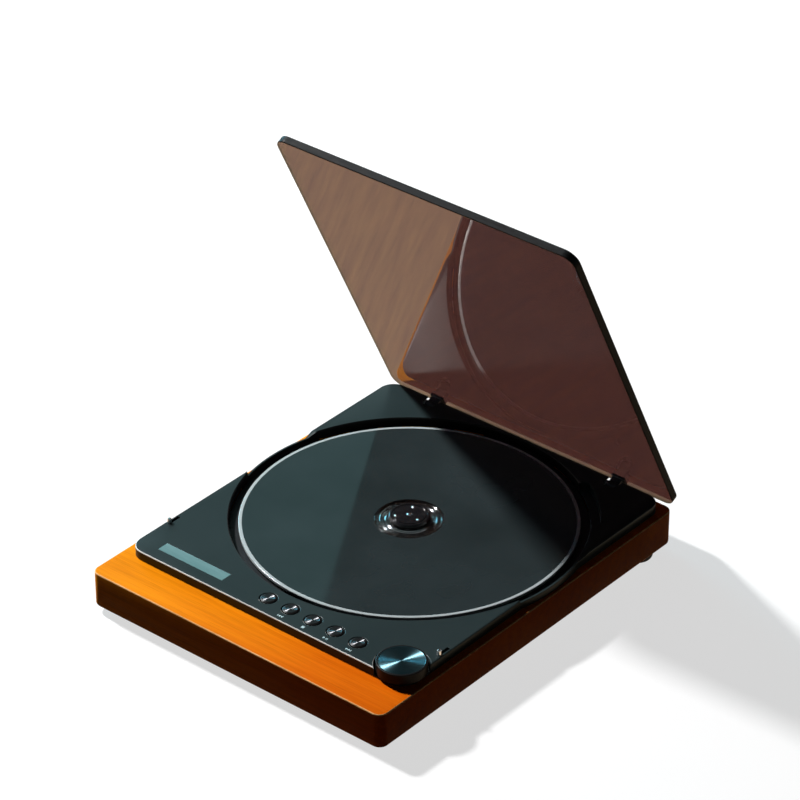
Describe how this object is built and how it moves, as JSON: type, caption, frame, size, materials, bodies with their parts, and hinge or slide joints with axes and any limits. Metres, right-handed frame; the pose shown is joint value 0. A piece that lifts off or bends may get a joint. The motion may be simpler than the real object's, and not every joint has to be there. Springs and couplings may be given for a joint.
{
  "type": "wall mounted cd player",
  "caption": "Slim wooden wall or table disc player with a black deck, an open smoke-brown clear lid, push buttons, a display window and a turned volume knob.",
  "frame": {"origin": "on the spindle's axis at the back cover's outer face, which is the plinth's underside", "axes": "+X to the right along the front edge with the controls, +Y from the controls to the hinges, +Z up out of the deck (out of the wall when hung, with +Y up)"},
  "size_m": [0.131, 0.1643, 0.1463],
  "materials": {
    "wood": "orange-brown stain under satin lacquer, fine straight grain along X",
    "deck_black": "satin blue-black anodised look with a bright cut edge",
    "well_black": "fine matt",
    "lid_smoke": "smoke-brown clear acrylic, polished",
    "disc_clear": "clear disc over a mirror layer, dark glossy face",
    "button_aluminium": "dark turned face",
    "knob_aluminium": "dark anodised, turned face",
    "window_clear": "pale grey-teal clear window",
    "polished_steel": "polished",
    "screw_steel": "zinc plated",
    "hinge_black": "dark satin",
    "back_sheet": "fine black powder coat",
    "foot_rubber": "soft matt",
    "damper_rubber": "soft matt",
    "chassis_steel": "bright zinc sheet",
    "motor_can": "drawn can",
    "screw_brass": "turned",
    "pickup_cast": "die cast, matt",
    "module_black": "moulded black",
    "lens_clear": "clear with a blue coating",
    "board_green": "solder mask over glass fibre",
    "battery_foil": "crimped foil pouch",
    "ribbon_white": "pale moulded or flat film",
    "socket_steel": "stamped sheet"
  },
  "bodies": {
    "base": {"wood_plinth": "wood", "back_cover": "back_sheet", "rubber_feet": "foot_rubber", "through_screws": "screw_steel", "cover_screws": "screw_steel", "deck_plate": "deck_black", "disc_well": "well_black", "floor_screws": "screw_steel", "display_window": "window_clear", "display_module": "module_black", "traverse_chassis": "chassis_steel", "chassis_dampers": "damper_rubber", "damper_screws": "screw_steel", "spindle_motor": "motor_can", "guide_rods": "polished_steel", "sled_motor": "motor_can", "main_board": "board_green", "board_chips": "module_black", "board_screws": "screw_steel", "battery_pack": "battery_foil", "ribbon_cable": "ribbon_white", "headphone_jack": "module_black", "usb_socket": "socket_steel", "control_board": "board_green", "tact_switches": "module_black", "encoder_body": "socket_steel", "hinge_bracket_left": "socket_steel", "hinge_bracket_right": "socket_steel", "hinge_pins": "polished_steel", "hinge_screws": "screw_steel", "lid_switch": "module_black", "lid_rest_pin": "polished_steel"},
    "lid": {"lid_panel": "lid_smoke", "hinge_arm_left": "hinge_black", "hinge_arm_right": "hinge_black"},
    "knob_carrier": {"encoder_plunger": "ribbon_white"},
    "knob": {"encoder_shaft": "polished_steel", "volume_knob": "knob_aluminium"},
    "mode_key": {"mode_button": "button_aluminium"},
    "previous_key": {"previous_button": "button_aluminium"},
    "stop_key": {"stop_button": "button_aluminium"},
    "play_key": {"play_button": "button_aluminium"},
    "next_key": {"next_button": "button_aluminium"},
    "turntable": {"turntable_hub": "module_black", "spindle_shaft": "polished_steel", "hub_balls": "polished_steel"},
    "disc": {"compact_disc": "disc_clear"},
    "pickup": {"optical_pickup": "pickup_cast"},
    "lens": {"lens_carrier": "module_black", "objective_lens": "lens_clear"},
    "screw": {"lead_screw": "screw_brass"},
    "lid_plunger": {"lid_switch_plunger": "polished_steel"}
  },
  "joints": [
    {"name": "lid_hinge", "type": "hinge", "parent": "base", "child": "lid", "pos_m": [0, 0.06265, 0.015], "axis": [-1, 0, 0], "range_deg": [-63.6, 6]},
    {"name": "knob_press", "type": "slide", "parent": "base", "child": "knob_carrier", "axis": [0, 0, -1], "range_m": [0, 0.0005], "stiffness_N_per_m": 800, "springref_m": -0.0004},
    {"name": "knob_turn", "type": "hinge", "parent": "knob_carrier", "child": "knob", "pos_m": [0.0549, -0.0697, 0.017], "axis": [0, 0, -1], "continuous": true},
    {"name": "turntable_spin", "type": "hinge", "parent": "base", "child": "turntable", "pos_m": [0, 0, 0.0152], "axis": [0, 0, -1], "continuous": true},
    {"name": "disc_lift", "type": "slide", "parent": "turntable", "child": "disc", "axis": [0, 0, 1], "range_m": [0, 0.012]},
    {"name": "pickup_slide", "type": "slide", "parent": "base", "child": "pickup", "axis": [0, -1, 0], "range_m": [0, 0.034]},
    {"name": "lead_screw_turn", "type": "hinge", "parent": "base", "child": "screw", "pos_m": [0.0245, -0.04, 0.0076], "axis": [0, 1, 0], "continuous": true},
    {"name": "lens_focus", "type": "slide", "parent": "pickup", "child": "lens", "axis": [0, 0, 1], "range_m": [-0.0004, 0.0004], "stiffness_N_per_m": 60},
    {"name": "lid_switch_press", "type": "slide", "parent": "base", "child": "lid_plunger", "axis": [0, 0, -1], "range_m": [0, 0.0008], "stiffness_N_per_m": 200, "springref_m": -0.0006},
    {"name": "mode_press", "type": "slide", "parent": "base", "child": "mode_key", "axis": [0, 0, -1], "range_m": [0, 0.0005], "stiffness_N_per_m": 600, "springref_m": -0.0004},
    {"name": "previous_press", "type": "slide", "parent": "base", "child": "previous_key", "axis": [0, 0, -1], "range_m": [0, 0.0005], "stiffness_N_per_m": 600, "springref_m": -0.0004},
    {"name": "stop_press", "type": "slide", "parent": "base", "child": "stop_key", "axis": [0, 0, -1], "range_m": [0, 0.0005], "stiffness_N_per_m": 600, "springref_m": -0.0004},
    {"name": "play_press", "type": "slide", "parent": "base", "child": "play_key", "axis": [0, 0, -1], "range_m": [0, 0.0005], "stiffness_N_per_m": 600, "springref_m": -0.0004},
    {"name": "next_press", "type": "slide", "parent": "base", "child": "next_key", "axis": [0, 0, -1], "range_m": [0, 0.0005], "stiffness_N_per_m": 600, "springref_m": -0.0004}
  ],
  "couplings": [
    {"joint": "lead_screw_turn", "follows": "pickup_slide", "rad_per_m": 2094.4}
  ]
}
